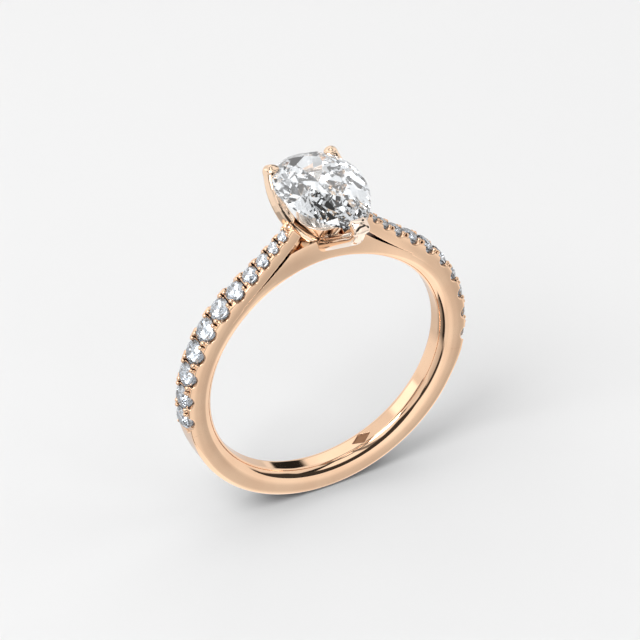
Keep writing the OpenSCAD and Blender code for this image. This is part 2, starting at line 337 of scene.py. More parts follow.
def brilliant(outline, centre, w, name, crushed=False):
    """A brilliant cut over a convex outline, eight mains a side; crushed adds small pavilion facets."""
    n = len(outline)
    crown, pavilion, half_g = CROWN * w, PAVILION * w, GIRDLE * w / 2
    top, bottom = half_g + crown, -half_g - pavilion
    bm = bmesh.new()
    low = [bm.verts.new((x, y, bottom - 0.01 * w)) for x, y in outline]
    high = [bm.verts.new((x, y, top)) for x, y in outline]
    bm.faces.new(high)
    bm.faces.new(low[::-1])
    for k in range(n):
        bm.faces.new((low[k], low[(k + 1) % n], high[(k + 1) % n], high[k]))

    def rim(t):
        """Point and outward normal of the outline at t, where a full turn is 8."""
        i = int(round(t * n / 8)) % n
        a, b = np.array(outline[i - 1]), np.array(outline[(i + 1) % n])
        along_rim = b - a
        out = np.array((along_rim[1], -along_rim[0])) / np.hypot(*along_rim)
        return np.array(outline[i]), out

    def facet(t, level, inset, rise, share=1.0):
        """A plane through the rim at height level that climbs by rise over inset of the radius."""
        p, out = rim(t)
        reach = float((p - centre) @ out)
        p = centre + (p - centre) * share
        slope = Vector((out[0] * rise, out[1] * rise, inset * reach))
        if rise < 0:
            slope.negate()
        cut(bm, (p[0], p[1], level), slope.normalized())

    for t in range(8):
        facet(t, half_g, 1 - TABLE, crown)
        facet(t, -half_g, 1.0, -pavilion)
    for t in np.arange(0.25, 8, 0.5):
        facet(t, half_g, UPPER_INSET, crown)
        facet(t, -half_g, LOWER_INSET, -pavilion)
    if crushed:
        for t in np.arange(0.125, 8, 0.25):
            facet(t, -half_g, LOWER_INSET * 0.9, -pavilion)
        for t in np.arange(0.5, 8, 1.0):
            facet(t, -half_g - 0.47 * pavilion, 1.1, -pavilion, 0.55)
        for t in np.arange(0.25, 8, 0.5):
            facet(t, -half_g - 0.77 * pavilion, 1.25, -pavilion, 0.25)
    for t in range(8):
        a, b = (centre + (rim(t + k)[0] - centre) * TABLE for k in (0, 1))
        out = np.array((b[1] - a[1], a[0] - b[0])) / np.hypot(*(b - a)) * math.sin(STAR_ANGLE)
        cut(bm, (a[0], a[1], top), (out[0], out[1], math.cos(STAR_ANGLE)))
    bmesh.ops.remove_doubles(bm, verts=bm.verts, dist=1e-5 * w)
    bmesh.ops.dissolve_limit(bm, angle_limit=1e-4, verts=bm.verts, edges=bm.edges)
    bmesh.ops.recalc_face_normals(bm, faces=bm.faces)
    mesh = bpy.data.meshes.new(name)
    bm.to_mesh(mesh)
    bm.free()
    return mesh


def place(mesh, name, matrix):
    """A stone from a mesh in mm, moved by a matrix in mm."""
    mesh.transform(Matrix.Scale(MM, 4) @ matrix)
    stone = bpy.data.objects.new(name, mesh)
    bpy.context.scene.collection.objects.link(stone)
    return stone


WING_R = (PEAR_POINT**2 + (PEAR_W / 2) ** 2) / PEAR_W
WING_A = math.asin(PEAR_POINT / WING_R)
# Place on the outline where the wing meets the round end
WING_T = 2.5


def pear_at(t):
    """Outline of the pear: t runs 0 to 8 around it, 0 at the point and 4 at the round end."""
    if t > 4:
        x, y = pear_at(8 - t)
        return -x, y
    if t <= WING_T:
        a = WING_A * (1 - t / WING_T)
        return PEAR_W / 2 - WING_R + WING_R * math.cos(a), PEAR_Y - WING_R * math.sin(a)
    a = math.pi / 2 * (t - WING_T) / (4 - WING_T)
    return PEAR_W / 2 * math.cos(a), PEAR_Y + PEAR_ROUND * math.sin(a)


def pear_field(x, y, z):
    """Envelope of the pear, near enough for the claws that grip it."""
    wing = np.hypot(np.abs(x) - (PEAR_W / 2 - WING_R), y - PEAR_Y) - WING_R
    scale = np.hypot(x / (PEAR_W / 2), (y - PEAR_Y) / PEAR_ROUND)
    side = np.where(y < PEAR_Y, wing, (scale - 1) * PEAR_ROUND)
    up = z - GIRDLE_Z
    half_g = GIRDLE * PEAR_W / 2
    rise, run = CROWN * PEAR_W, (1 - TABLE) * PEAR_W / 2
    crown = (side * rise + (up - half_g) * run) / math.hypot(rise, run)
    drop, half_w = PAVILION * PEAR_W, PEAR_W / 2
    under = (side * drop - (up + half_g) * half_w) / math.hypot(drop, half_w)
    return np.maximum(np.maximum(side, crown), under)


# ---------------------------------------------------------------- metal
def rail_depth(x, z):
    """Height above the crest of the right shoulder, negative inside the metal."""
    lifted = LIFT_R - np.hypot(x - LIFT_X, z - LIFT_Z)
    beyond = x * math.cos(LIFT_ANGLE) - z * math.sin(LIFT_ANGLE)
    return np.where(beyond > 0, np.hypot(x, z) - R_OUT, lifted)


def band_angles():
    """Angles of the band's cross-sections: fine at the lozenge, with tight pairs at the rails' tails."""
    fine = math.radians(0.12)
    coarse = math.radians(0.6)
    seam = 1e-4
    reach = MARK_L / 2 / R_IN + 3 * fine
    first, last = MARK_ANGLE - reach, MARK_ANGLE + reach
    angles = [*np.arange(-math.pi, first, coarse), *np.arange(first, last, fine)]
    angles += list(np.arange(last, math.pi - coarse / 2, coarse))
    for end in (-RAIL_END, RAIL_END):
        angles += [end + k * seam for k in (-3, -1, 1, 3)]
    return sorted(angles)


def corner(cr, cy, r, start, n):
    """A quarter circle of n steps in (radius, y), turning down from a start angle."""
    angles = [start - math.pi / 2 * k / n for k in range(n + 1)]
    return [(cr + r * math.cos(a), cy + r * math.sin(a)) for a in angles]


def band_section(a):
    """Outline of the band in (radius, y) at angle a: bore, side, top and the other side."""
    n_corner, n_bore, n_side = 12, 60, 8
    w = float(half_at(WIDTH_R * math.sin(a), WIDTH_R * math.cos(a)))
    bare = abs(a) > RAIL_END
    top = R_OUT if bare else under_rail(abs(a))
    outer_r = float(edge_round(a)) if bare else HIDDEN_R
    inner_r = min(COMFORT_R, max(0.16, w - 0.44))
    low, high = R_IN + inner_r, top - outer_r
    ring = []
    for k in range(n_bore + 1):
        y = (w - inner_r) * (2 * k / n_bore - 1)
        ring.append((bore_radius(a, y * float(taper(R_IN))), y))
    ring += corner(low, w - inner_r, inner_r, math.pi, n_corner)[1:]
    ring += [(low + (high - low) * k / n_side, w) for k in range(1, n_side)]
    ring += corner(high, w - outer_r, outer_r, math.pi / 2, n_corner)
    ring += [(top, (w - outer_r) * (1 - 2 * k / n_side)) for k in range(1, n_side)]
    ring += corner(high, -w + outer_r, outer_r, 0, n_corner)
    ring += [(high + (low - high) * k / n_side, -w) for k in range(1, n_side)]
    ring += corner(low, -w + inner_r, inner_r, -math.pi / 2, n_corner)[:-1]
    return ring


def band_mesh():
    """The band as one swept skin, with its comfort edges, waist and the lozenge inside it."""
    rows = []
    for a in band_angles():
        s, c = math.sin(a), math.cos(a)
        rows.append([(r * s, y * float(taper(r)), r * c) for r, y in band_section(a)])
    m, n = len(rows), len(rows[0])
    faces = [
        (i * n + j, ((i + 1) % m) * n + j, ((i + 1) % m) * n + (j + 1) % n, i * n + (j + 1) % n)
        for i in range(m)
        for j in range(n)
    ]
    return new_mesh("band_body", np.array(rows).reshape(-1, 3), faces)


def bore_radius(angle, y):
    """Radius of the finger hole, which is deeper inside the lozenge."""
    u = abs(angle - MARK_ANGLE) * R_IN / (MARK_L / 2) + abs(y) / (MARK_W / 2)
    wall = 0.06
    return R_IN + MARK_DEPTH * min(1, max(0, (1 - u) / wall))


def under_rail(a):
    """Radius of the top of the band under the shoulder, where the rail rests on or leaves it."""
    if a >= LIFT_ANGLE:
        return R_OUT - RAIL_T
    # Where the ray at angle a meets the underside circle of the lifted rail
    big = LIFT_R + RAIL_T
    along_ray = LIFT_X * math.sin(a) + LIFT_Z * math.cos(a)
    gap2 = big**2 - (LIFT_X**2 + LIFT_Z**2 - along_ray**2)
    r = along_ray - math.sqrt(max(gap2, 0))
    return min(R_OUT, r - RAIL_GAP * float(smooth_step((LIFT_ANGLE - a) / RAIL_GAP_SPAN)))


def stone_frame(i):
    """Middle of side stone i, with its tangent and normal directions in the XZ plane."""
    s = along(i)
    a = lean(s)
    x, z = crest(s)
    return x, z, math.cos(a), math.sin(a)


def local(x, z, at):
    """Distances along the crest and above it, from a stone frame."""
    dx, dz = x - at[0], z - at[1]
    return dx * at[2] - dz * at[3], dx * at[3] + dz * at[2]


def stone_setting(i, x, y, z, d):
    """Cuts the seat and scallops of side stone i into the field d, and adds its four beads."""
    dia = side_d(i)
    u, up = local(x, z, stone_frame(i))
    rho = np.hypot(u, y)
    r = dia / 2 + SEAT_GAP
    depth = PAVILION * dia
    cone = (rho * depth - (up + GIRDLE * dia + depth) * r) / math.hypot(depth, r)
    d = round_max(d, -np.maximum(rho - r, cone), 0.02)
    lifted = up - SCALLOP_UP * dia / 2
    arch = np.where(lifted < 0, np.hypot(u, lifted), np.abs(u)) - SCALLOP_R * dia / 2
    d = round_max(d, -np.maximum(arch, SCALLOP_IN * dia / 2 - np.abs(y)), 0.035)
    bead_r = 0.1 + 0.1 * dia / 2
    bead_off = dia / 2 + 0.05 + 0.07 * dia / 2
    bead_u, bead_v = bead_off * math.cos(BEAD_ANGLE), bead_off * math.sin(BEAD_ANGLE)
    over = np.hypot(np.maximum(up - BEAD_UP, 0), np.maximum(-BEAD_ROOT - up, 0))
    for side in (-1, 1):
        for end in (-1, 1):
            flat = np.hypot(u - end * bead_u, y - side * bead_v)
            d = round_min(d, np.hypot(flat, over) - bead_r, 0.03)
    # The crown and girdle of the stone stand clear of the beads
    run = (1 - TABLE) / 2
    crown = (rho * CROWN * dia + up * run * dia - r * CROWN * dia) / math.hypot(CROWN, run) / dia
    stone = np.maximum(np.maximum(rho - r, crown), -up - GIRDLE * dia)
    return np.maximum(d, -stone)


def stone_slit(i, x, y, z, d):
    """Saws the metal between side stones i and i + 1."""
    s = (along(i) + along(i + 1)) / 2
    a = lean(s)
    u, up = local(x, z, (*crest(s), math.cos(a), math.sin(a)))
    slit = np.maximum(np.abs(u) - SLIT_W / 2, -SLIT_DEPTH - up)
    return round_max(d, -np.maximum(slit, np.abs(y) - 0.55 * side_d(i + 1)), 0.02)


def right_rail_field(x, y, z):
    """The right shoulder rail, with its seats, scallops, beads, saw cuts and ends."""
    h = rail_depth(x, z)
    w = half_at(x, z) - SKIN
    angle = np.arctan2(x, z)
    tail = smooth_step((angle - math.radians(93)) / math.radians(8))
    side = np.abs(y) - w * taper(R_OUT + np.maximum(h, -1.2))
    edge = np.where(angle > math.radians(90), edge_round(angle), CRISP_R)
    d = round_max(h + SKIN * tail, side, edge)
    under = np.where(angle > LIFT_ANGLE + 0.05, RAIL_T + RAIL_KEY, RAIL_T)
    d = np.maximum(d, -under - h)
    d = np.maximum(d, (angle - RAIL_END) * R_OUT - RAIL_KEY)
    # The upper end slopes, so that it butts against the claw
    past = (z - RAIL_TOP[1]) * RAIL_TOP_N[1] - (x - RAIL_TOP[0]) * RAIL_TOP_N[0]
    d = round_max(d, past, 0.2)
    near = h > -0.95
    if not near.any():
        return d
    for i in range(1, SIDE_STONES + 1):
        cx, cz = crest(along(i))
        box = (np.abs(x - cx) < side_d(i)) & (np.abs(z - cz) < side_d(i))
        if box.any():
            d[box] = stone_setting(i, x[box], y[box], z[box], d[box])
    for i in range(1, SIDE_STONES):
        cx, cz = crest((along(i) + along(i + 1)) / 2)
        box = (np.abs(x - cx) < 0.9) & (np.abs(z - cz) < 0.9)
        if box.any():
            d[box] = stone_slit(i, x[box], y[box], z[box], d[box])
    # Hollow between the highest stone and the claw
    last = stone_frame(SIDE_STONES)
    box = (x < last[0]) & near
    if box.any():
        u, up = local(x[box], z[box], last)
        hollow = np.hypot(np.hypot(u + HOLLOW_BEYOND, y[box]), (up - 0.02) * 1.2) - HOLLOW_R
        d[box] = round_max(d[box], -hollow, 0.03)
    # Bright-cut point below the lowest stone
    box = (angle > FIRST_ANGLE) & near
    if box.any():
        run = R_OUT * (angle[box] - FIRST_ANGLE) - side_d(1) / 2
        open_w = POINT_LENGTH * (1 - run / POINT_LENGTH)
        bright_cut = np.maximum(np.abs(y[box]) - open_w, -h[box] - POINT_DEPTH + 0.2 * np.clip(run, 0, 1))
        d[box] = round_max(d[box], -bright_cut, 0.02)
    return d


def arc_path(foot, bend, tip, n):
    """Points along the circle through three points, and the normal of its plane."""
    foot, bend, tip = (np.array(p, float) for p in (foot, bend, tip))
    u, v = bend - foot, tip - foot
    normal = np.cross(u, v)
    centre = foot + (np.cross(normal, u) * (v @ v) + np.cross(v, normal) * (u @ u)) / (2 * normal @ normal)
    r = np.linalg.norm(foot - centre)
    zx = (foot - centre) / r
    zy = np.cross(normal / np.linalg.norm(normal), zx)
    sweep = 2 * math.asin(np.linalg.norm(v) / (2 * r))
    angles = np.linspace(0, sweep, n)
    return [centre + r * (zx * math.cos(a) + zy * math.sin(a)) for a in angles], normal


CLAW_FOOT = (-0.62, 0.1, 10.1)
CLAW_BEND = (-2.3, 1.05, 12.15)
CLAW_TIP = (-2.22, 3.02, 14.25)
CLAW_N = 14
# Thickness and width of a claw at its foot and at its tip
CLAW_THICK = (0.82, 0.66)
CLAW_WIDTH = (0.96, 0.86)
PAD_R = 0.45
PAD_TOP = 0.5
# How far the claws stay off the stone
GRIP_GAP = 0.005
CLAW_PATH, CLAW_NORMAL = arc_path(CLAW_FOOT, CLAW_BEND, CLAW_TIP, CLAW_N)


def left_claw_field(x, y, z):
    """The left claw of the round end, up to the middle plane where the right one meets it."""
    p = (x, y, z)
    thick = list(np.linspace(*CLAW_THICK, CLAW_N))
    width = list(np.linspace(*CLAW_WIDTH, CLAW_N))
    d = ribbon(p, CLAW_PATH, thick, width, CLAW_NORMAL, 0.3)
    # Rounded pad folded over the rim of the stone
    tip = np.array(CLAW_TIP)
    inward = np.array((0.5, -0.78, 0.12))
    d2, _ = segment(p, tip + (0, 0, -0.1), tip + inward * 0.24 + (0, 0, 0.05))
    pad = np.sqrt(d2) - PAD_R
    pad = round_max(pad, z - (GIRDLE_Z + PAD_TOP), 0.14)
    d = round_min(d, pad, 0.12)
    d = round_max(d, -pear_field(x, y, z) + GRIP_GAP, 0.02)
    d = np.maximum(d, x)
    d = np.maximum(d, R_OUT - 0.02 - np.hypot(x, z))
    return d


KEEL_RISE = math.radians(38)
KEEL_OUT = -5.38
KEEL_BEND = 1.9
KEEL_ROOT = (-NECK_W / 2 + 0.05, 9.86)
# Thickness of the point claw at its root and at its tip, its width, and the size of its cap
KEEL_THICK = (0.9, 0.62)
KEEL_W = 0.9
CAP_R = 0.36
CAP_HALF_W = 0.56


def keel_path():
    """Mid-line of the point claw in the YZ plane: a straight rise, then a turn to the vertical."""
    mid_out = KEEL_OUT + 0.33
    y0 = mid_out + KEEL_BEND - KEEL_BEND * math.sin(KEEL_RISE)
    z0 = KEEL_ROOT[1] + (KEEL_ROOT[0] - y0) * math.tan(KEEL_RISE)
    cy, cz = mid_out + KEEL_BEND, z0 + KEEL_BEND * math.cos(KEEL_RISE)
    path = [KEEL_ROOT, (y0 * 0.33 + KEEL_ROOT[0] * 0.67, z0 * 0.33 + KEEL_ROOT[1] * 0.67)]
    for a in np.linspace(KEEL_RISE, math.pi / 2, 8):
        path.append((cy - KEEL_BEND * math.sin(a), cz - KEEL_BEND * math.cos(a)))
    path.append((mid_out, GIRDLE_Z + 0.16))
    return [np.array((0.0, y, z)) for y, z in path]


KEEL_PATH = keel_path()
CUP_FOOT = (0.3, 10.0)
CUP_R = 1.75
CUP_RIM_Z = 12.0
CUP_WALL = 0.3


def point_claw_field(x, y, z):
    """The claw at the point of the pear, with its keel and the small cup under the stone."""
    p = (x, y, z)
    n = len(KEEL_PATH)
    thick = list(np.linspace(*KEEL_THICK, n))
    width = [1.1, 0.96] + [KEEL_W] * (n - 2)
    d = ribbon(p, KEEL_PATH, thick, width, (1, 0, 0), 0.4)
    # Cap that folds over the point
    tip = KEEL_PATH[-1]
    d2, _ = segment((y, z), tip[1:] + (0.0, -0.1), tip[1:] + (0.28, 0.06))
    cap = round_max(np.sqrt(d2) - CAP_R, np.abs(x) - CAP_HALF_W, 0.16)
    d = round_min(d, cap, 0.14)
    d = round_max(d, -pear_field(x, y, z) + GRIP_GAP, 0.02)
    # Small cup that rises from the band under the culet
    run, climb = CUP_R - CUP_FOOT[0], CUP_RIM_Z - CUP_FOOT[1]
    slant = math.hypot(run, climb)
    skin = ((np.hypot(x, y) - CUP_FOOT[0]) * climb - (z - CUP_FOOT[1]) * run) / slant
    wall = CUP_WALL * climb / slant
    cup = round_max(np.abs(skin + wall / 2) - wall / 2, z - CUP_RIM_Z, 0.1)
    cup = np.maximum(cup, CUP_FOOT[1] - z)
    d = round_min(d, cup, 0.15)
    reach = np.hypot(x, z)
    inside_band = np.maximum(np.maximum(R_IN - reach, reach - R_OUT), np.abs(y) - half_at(x, z))
    return np.maximum(d, -inside_band - 0.03)


# ---------------------------------------------------------------- materials
def node_tree(name):
    """A new material with an empty node tree."""
    material = bpy.data.materials.new(name)
    material.use_nodes = True
    tree = material.node_tree
    tree.nodes.clear()
    return material, tree


def add(tree, kind, **values):
    """Adds a node, with settings as attributes and sockets by their names."""
    node = tree.nodes.new(kind)
    for key, value in values.items():
        if hasattr(node, key):
            setattr(node, key, value)
        else:
            node.inputs[key.replace("_", " ")].default_value = value
    return node


def metal(name, dark, light, rough, shade_colour=(1, 1, 1), reach=0.45):
    """Polished metal: faint variation in colour, fine polishing lines, and painted shade in its crevices.

    The roughness runs between the two values of rough. Within reach mm of other surfaces the base colour is
    multiplied towards shade_colour: painted shade.
    """
    material, tree = node_tree(name)
    link = tree.links.new
    where = add(tree, "ShaderNodeTexCoord").outputs["Object"]
    tone = add(tree, "ShaderNodeTexNoise", Scale=420.0, Detail=3.0)
    link(where, tone.inputs["Vector"])
    colour = add(tree, "ShaderNodeValToRGB")
    colour.color_ramp.elements[0].position = 0.35
    colour.color_ramp.elements[0].color = (*dark, 1)
    colour.color_ramp.elements[1].position = 0.65
    colour.color_ramp.elements[1].color = (*light, 1)
    link(tone.outputs["Fac"], colour.inputs["Fac"])
    # Painted shade: ambient occlusion darkens the base colour in crevices and between nearby parts
    hollow = add(tree, "ShaderNodeAmbientOcclusion", samples=6, Distance=reach * MM)
    depth = add(tree, "ShaderNodeValToRGB")
    depth.color_ramp.elements[0].position = 0.16
    depth.color_ramp.elements[0].color = (*shade_colour, 1)
    depth.color_ramp.elements[1].position = 0.52
    depth.color_ramp.elements[1].color = (1, 1, 1, 1)
    link(hollow.outputs["AO"], depth.inputs["Fac"])
    shade = add(tree, "ShaderNodeMix", data_type="RGBA", blend_type="MULTIPLY")
    shade.inputs["Factor"].default_value = 1.0
    link(colour.outputs["Color"], shade.inputs[6])
    link(depth.outputs["Color"], shade.inputs[7])
    stretch = add(tree, "ShaderNodeMapping")
    stretch.inputs["Scale"].default_value = (2500, 14000, 2500)
    link(where, stretch.inputs["Vector"])
    lines = add(tree, "ShaderNodeTexNoise", Scale=1.0, Detail=4.0, Roughness=0.6)
    link(stretch.outputs["Vector"], lines.inputs["Vector"])
    wear = add(tree, "ShaderNodeMapRange")
    wear.inputs["From Min"].default_value = 0.3
    wear.inputs["From Max"].default_value = 0.75
    wear.inputs["To Min"].default_value = rough[0]
    wear.inputs["To Max"].default_value = rough[1]
    link(lines.outputs["Fac"], wear.inputs["Value"])
    bump = add(tree, "ShaderNodeBump", Strength=0.05, Distance=0.00001)
    link(lines.outputs["Fac"], bump.inputs["Height"])
    shader = add(tree, "ShaderNodeBsdfPrincipled", Metallic=1.0)
    link(shade.outputs[2], shader.inputs["Base Color"])
    link(wear.outputs["Result"], shader.inputs["Roughness"])
    link(bump.outputs["Normal"], shader.inputs["Normal"])
    out = add(tree, "ShaderNodeOutputMaterial")
    link(shader.outputs["BSDF"], out.inputs["Surface"])
    return material


def diamond(name, scale):
    """Clear diamond, with the faintest cool cloudiness."""
    material, tree = node_tree(name)
    link = tree.links.new
    where = add(tree, "ShaderNodeTexCoord").outputs["Object"]
    cloud = add(tree, "ShaderNodeTexNoise", Scale=scale, Detail=2.0)
    link(where, cloud.inputs["Vector"])
    colour = add(tree, "ShaderNodeValToRGB")
    colour.color_ramp.elements[0].color = (0.905, 0.95, 1.0, 1)
    colour.color_ramp.elements[1].color = (0.965, 0.985, 1.0, 1)
    link(cloud.outputs["Fac"], colour.inputs["Fac"])
    glass = add(tree, "ShaderNodeBsdfPrincipled", Roughness=0.0, IOR=2.42)
    glass.inputs["Transmission Weight"].default_value = 1.0
    link(colour.outputs["Color"], glass.inputs["Base Color"])
    out = add(tree, "ShaderNodeOutputMaterial")
    link(glass.outputs["BSDF"], out.inputs["Surface"])
    return material


POLISHED = (0.04, 0.1)
# Painted shade: the band and rails darken to deep brown wherever other metal lies within 1 mm
GOLD = metal(
    "rose_gold_polished_crevice_shade", (0.885, 0.59, 0.395), (0.93, 0.64, 0.435), POLISHED, (0.1, 0.06, 0.04), reach=1.0
)
# Painted light: a lighter, less orange copy of the rose gold for the claws, offsetting gold reflected in
# gold; it also has painted crevice shade
HEAD_GOLD_PAINTED_LIGHT = metal("rose_gold_head_painted_light", (0.91, 0.68, 0.5), (0.95, 0.73, 0.55), POLISHED, (0.16, 0.1, 0.07))
# Painted light: a still lighter copy of the rose gold for the point claw and the band top under the claws,
# offsetting gold reflected in gold; it also has painted crevice shade
KEEL_GOLD_PAINTED_LIGHT = metal("rose_gold_keel_painted_light", (0.92, 0.75, 0.61), (0.95, 0.79, 0.66), (0.05, 0.11), (0.16, 0.1, 0.07))
ETCHED = metal("rose_gold_etched", (0.3, 0.16, 0.09), (0.42, 0.24, 0.14), (0.4, 0.6))
# Painted reflection: pale metal inside the cup, so that the centre stone reflects less gold
CUP_REFLECTION_TINT = metal("cup_inside_painted_reflection", (0.88, 0.84, 0.8), (0.92, 0.88, 0.84), (0.08, 0.16))
# Painted reflection: silvery seats under the side stones, so that they reflect white rather than gold
SEAT_REFLECTION_TINT = metal("seat_painted_reflection", (0.72, 0.75, 0.79), (0.82, 0.85, 0.89), (0.06, 0.12))
PEAR_GLASS = diamond("diamond_centre", 600.0)
SIDE_GLASS = diamond("diamond_side", 2000.0)


# ---------------------------------------------------------------- build the ring
def in_mark(x, y, z):
    """The floor of the lozenge."""
    r = np.hypot(x, z)
    angle = np.abs(np.arctan2(x, z) - MARK_ANGLE)
    return (r > R_IN + 0.015) & (r < R_IN + MARK_DEPTH + 0.01) & (angle < 0.1) & (np.abs(y) < MARK_W / 2)


def cup_painted_reflection(x, y, z):
    """The inside of the cup under the stone, painted pale so that the centre stone reflects less gold."""
    floor_z = CUP_RIM_Z - (CUP_R - np.hypot(x, y)) * (CUP_RIM_Z - CUP_FOOT[1]) / (CUP_R - CUP_FOOT[0])
    return (z > floor_z + CUP_WALL / 2) & (z < CUP_RIM_Z - 0.02) & (z > CUP_FOOT[1] + 0.3) & (y > -1.3)


def seats_painted_reflection(x, y, z):
    """The cones that the side stones sit in, on either shoulder, painted silvery so that the stones reflect
    white.
    """
    inside = np.zeros(len(x), bool)
    for i in range(1, SIDE_STONES + 1):
        u, up = local(np.abs(x), z, stone_frame(i))
        low = -0.6 * side_d(i)
        inside |= (np.hypot(u, y) < side_d(i) / 2 - 0.01) & (up < -0.02) & (up > low)
    return inside


def band_top_painted_light(x, y, z):
    """The top of the band below the claws, painted in the lighter keel gold."""
    return (np.hypot(x, z) > R_OUT - 0.05) & (np.abs(x) < 1.9) & (z > 0)


band = band_mesh()
settle(band, GOLD, "rose_gold", "band")
paint(band, ETCHED, in_mark)
# Painted light: the band top under the claws gets the lighter gold, offsetting reflected gold
paint(band, KEEL_GOLD_PAINTED_LIGHT, band_top_painted_light)

# Mesh cells, in mm: small enough for smooth reflections, with every piece below 200,000 faces
RAIL_CELL = 0.039
CLAW_CELL = 0.035

rail_lo = (1.9, -1.2, -2.4)
rail_hi = (R_OUT + 0.3, 1.2, 12.6)
right_rail = mesh_field(right_rail_field, rail_lo, rail_hi, RAIL_CELL, "right_rail_body")
left_rail = mirrored(right_rail, "left_rail_body")
settle(right_rail, GOLD, "rose_gold", "right_rail")
settle(left_rail, GOLD, "rose_gold", "left_rail")
# Painted reflection: the seats are silvery
paint(right_rail, SEAT_REFLECTION_TINT, seats_painted_reflection)
paint(left_rail, SEAT_REFLECTION_TINT, seats_painted_reflection)

left_claw = mesh_field(left_claw_field, (-3.4, -0.8, 9.6), (0.1, 4.0, 15.0), CLAW_CELL, "left_claw_body")
right_claw = mirrored(left_claw, "right_claw_body")
settle(left_claw, HEAD_GOLD_PAINTED_LIGHT, "rose_gold", "left_claw")
settle(right_claw, HEAD_GOLD_PAINTED_LIGHT, "rose_gold", "right_claw")

point_claw = mesh_field(point_claw_field, (-1.9, -5.7, 8.6), (1.9, 1.9, 15.0), CLAW_CELL, "point_claw_body")
settle(point_claw, KEEL_GOLD_PAINTED_LIGHT, "rose_gold", "point_claw")
# Painted reflection: the inside of the cup is pale
paint(point_claw, CUP_REFLECTION_TINT, cup_painted_reflection)

RIM_STEPS = 64
pear_rim = [pear_at(8 * k / RIM_STEPS) for k in range(RIM_STEPS)]
pear = place(
    brilliant(pear_rim, np.array((0.0, PEAR_Y)), PEAR_W, "centre_pear", crushed=True),
    "centre_pear",
    Matrix.Translation((0, 0, GIRDLE_Z)),
)
settle(pear, PEAR_GLASS, "centre_diamond", "centre_stone")

for i in range(1, SIDE_STONES + 1):
    dia = side_d(i)
    disc = [
        (dia / 2 * math.sin(2 * math.pi * k / RIM_STEPS), -dia / 2 * math.cos(2 * math.pi * k / RIM_STEPS))
        for k in range(RIM_STEPS)
    ]
    s = along(i)
    x, z = crest(s)
    turn = Matrix.Rotation(lean(s), 4, "Y")
    seat = Matrix.Translation((x, 0, z)) @ turn @ Matrix.Translation((0, 0, -GIRDLE * dia / 2))
    right = place(brilliant(disc, np.zeros(2), dia, f"right_side_stone_{i}"), f"right_side_stone_{i}", seat)
    left = mirrored(right, f"left_side_stone_{i}")
    settle(right, SIDE_GLASS, "side_diamond", f"right_stone_{i}")
    settle(left, SIDE_GLASS, "side_diamond", f"left_stone_{i}")

# ---------------------------------------------------------------- floor, light and camera
FLOOR_Z = -R_OUT - 0.01
BACKDROP = 0.896
# Distances from the ring, in mm, between which the floor turns into the plain backdrop
FADE_FROM = 40
FADE_TO = 260


def studio_floor(size, material):
    """A flat square under the ring, in mm."""
    mesh = bpy.data.meshes.new("floor")
    h = size * MM / 2
    mesh.from_pydata([(-h, -h, 0), (h, -h, 0), (h, h, 0), (-h, h, 0)], [], [(0, 1, 2, 3)])
    mesh.materials.append(material)
    plane = bpy.data.objects.new("floor", mesh)
    bpy.context.scene.collection.objects.link(plane)
    plane.location = (0, 0, FLOOR_Z * MM)
    plane.visible_glossy = False


def floor_material():
    """Matt pale grey, which turns into the plain backdrop far from the ring."""
    material, tree = node_tree("studio_floor")
    link = tree.links.new
    noise = add(tree, "ShaderNodeTexNoise", Scale=30.0)
    tone = add(tree, "ShaderNodeValToRGB")
    tone.color_ramp.elements[0].color = (0.795, 0.795, 0.795, 1)
    tone.color_ramp.elements[1].color = (0.805, 0.805, 0.805, 1)
    matt = add(tree, "ShaderNodeBsdfDiffuse")
    link(noise.outputs["Fac"], tone.inputs["Fac"])
    link(tone.outputs["Color"], matt.inputs["Color"])
    where = add(tree, "ShaderNodeTexCoord")
    far = add(tree, "ShaderNodeVectorMath", operation="LENGTH")
    link(where.outputs["Object"], far.inputs[0])
    fade = add(tree, "ShaderNodeMapRange", interpolation_type="SMOOTHSTEP")
    fade.inputs["From Min"].default_value = FADE_FROM * MM
    fade.inputs["From Max"].default_value = FADE_TO * MM
    link(far.outputs["Value"], fade.inputs["Value"])
    plain = add(tree, "ShaderNodeEmission")
    plain.inputs["Color"].default_value = (BACKDROP, BACKDROP, BACKDROP, 1)
    mix = add(tree, "ShaderNodeMixShader")
    link(fade.outputs["Result"], mix.inputs[0])
    link(matt.outputs["BSDF"], mix.inputs[1])
    link(plain.outputs["Emission"], mix.inputs[2])
    out = add(tree, "ShaderNodeOutputMaterial")
    link(mix.outputs["Shader"], out.inputs["Surface"])
    return material


FLOOR_SIZE = 6000
studio_floor(FLOOR_SIZE, floor_material())


def ramp(tree, stops):
    """A grey ramp from (position, value) stops; values above 1 are lit panels."""
    node = add(tree, "ShaderNodeValToRGB")
    points = node.color_ramp.elements
    while len(points) < len(stops):
        points.new(0.5)
    for point, (position, value) in zip(points, stops):
        point.position = position
        point.color = (value, value, value, 1)
    return node


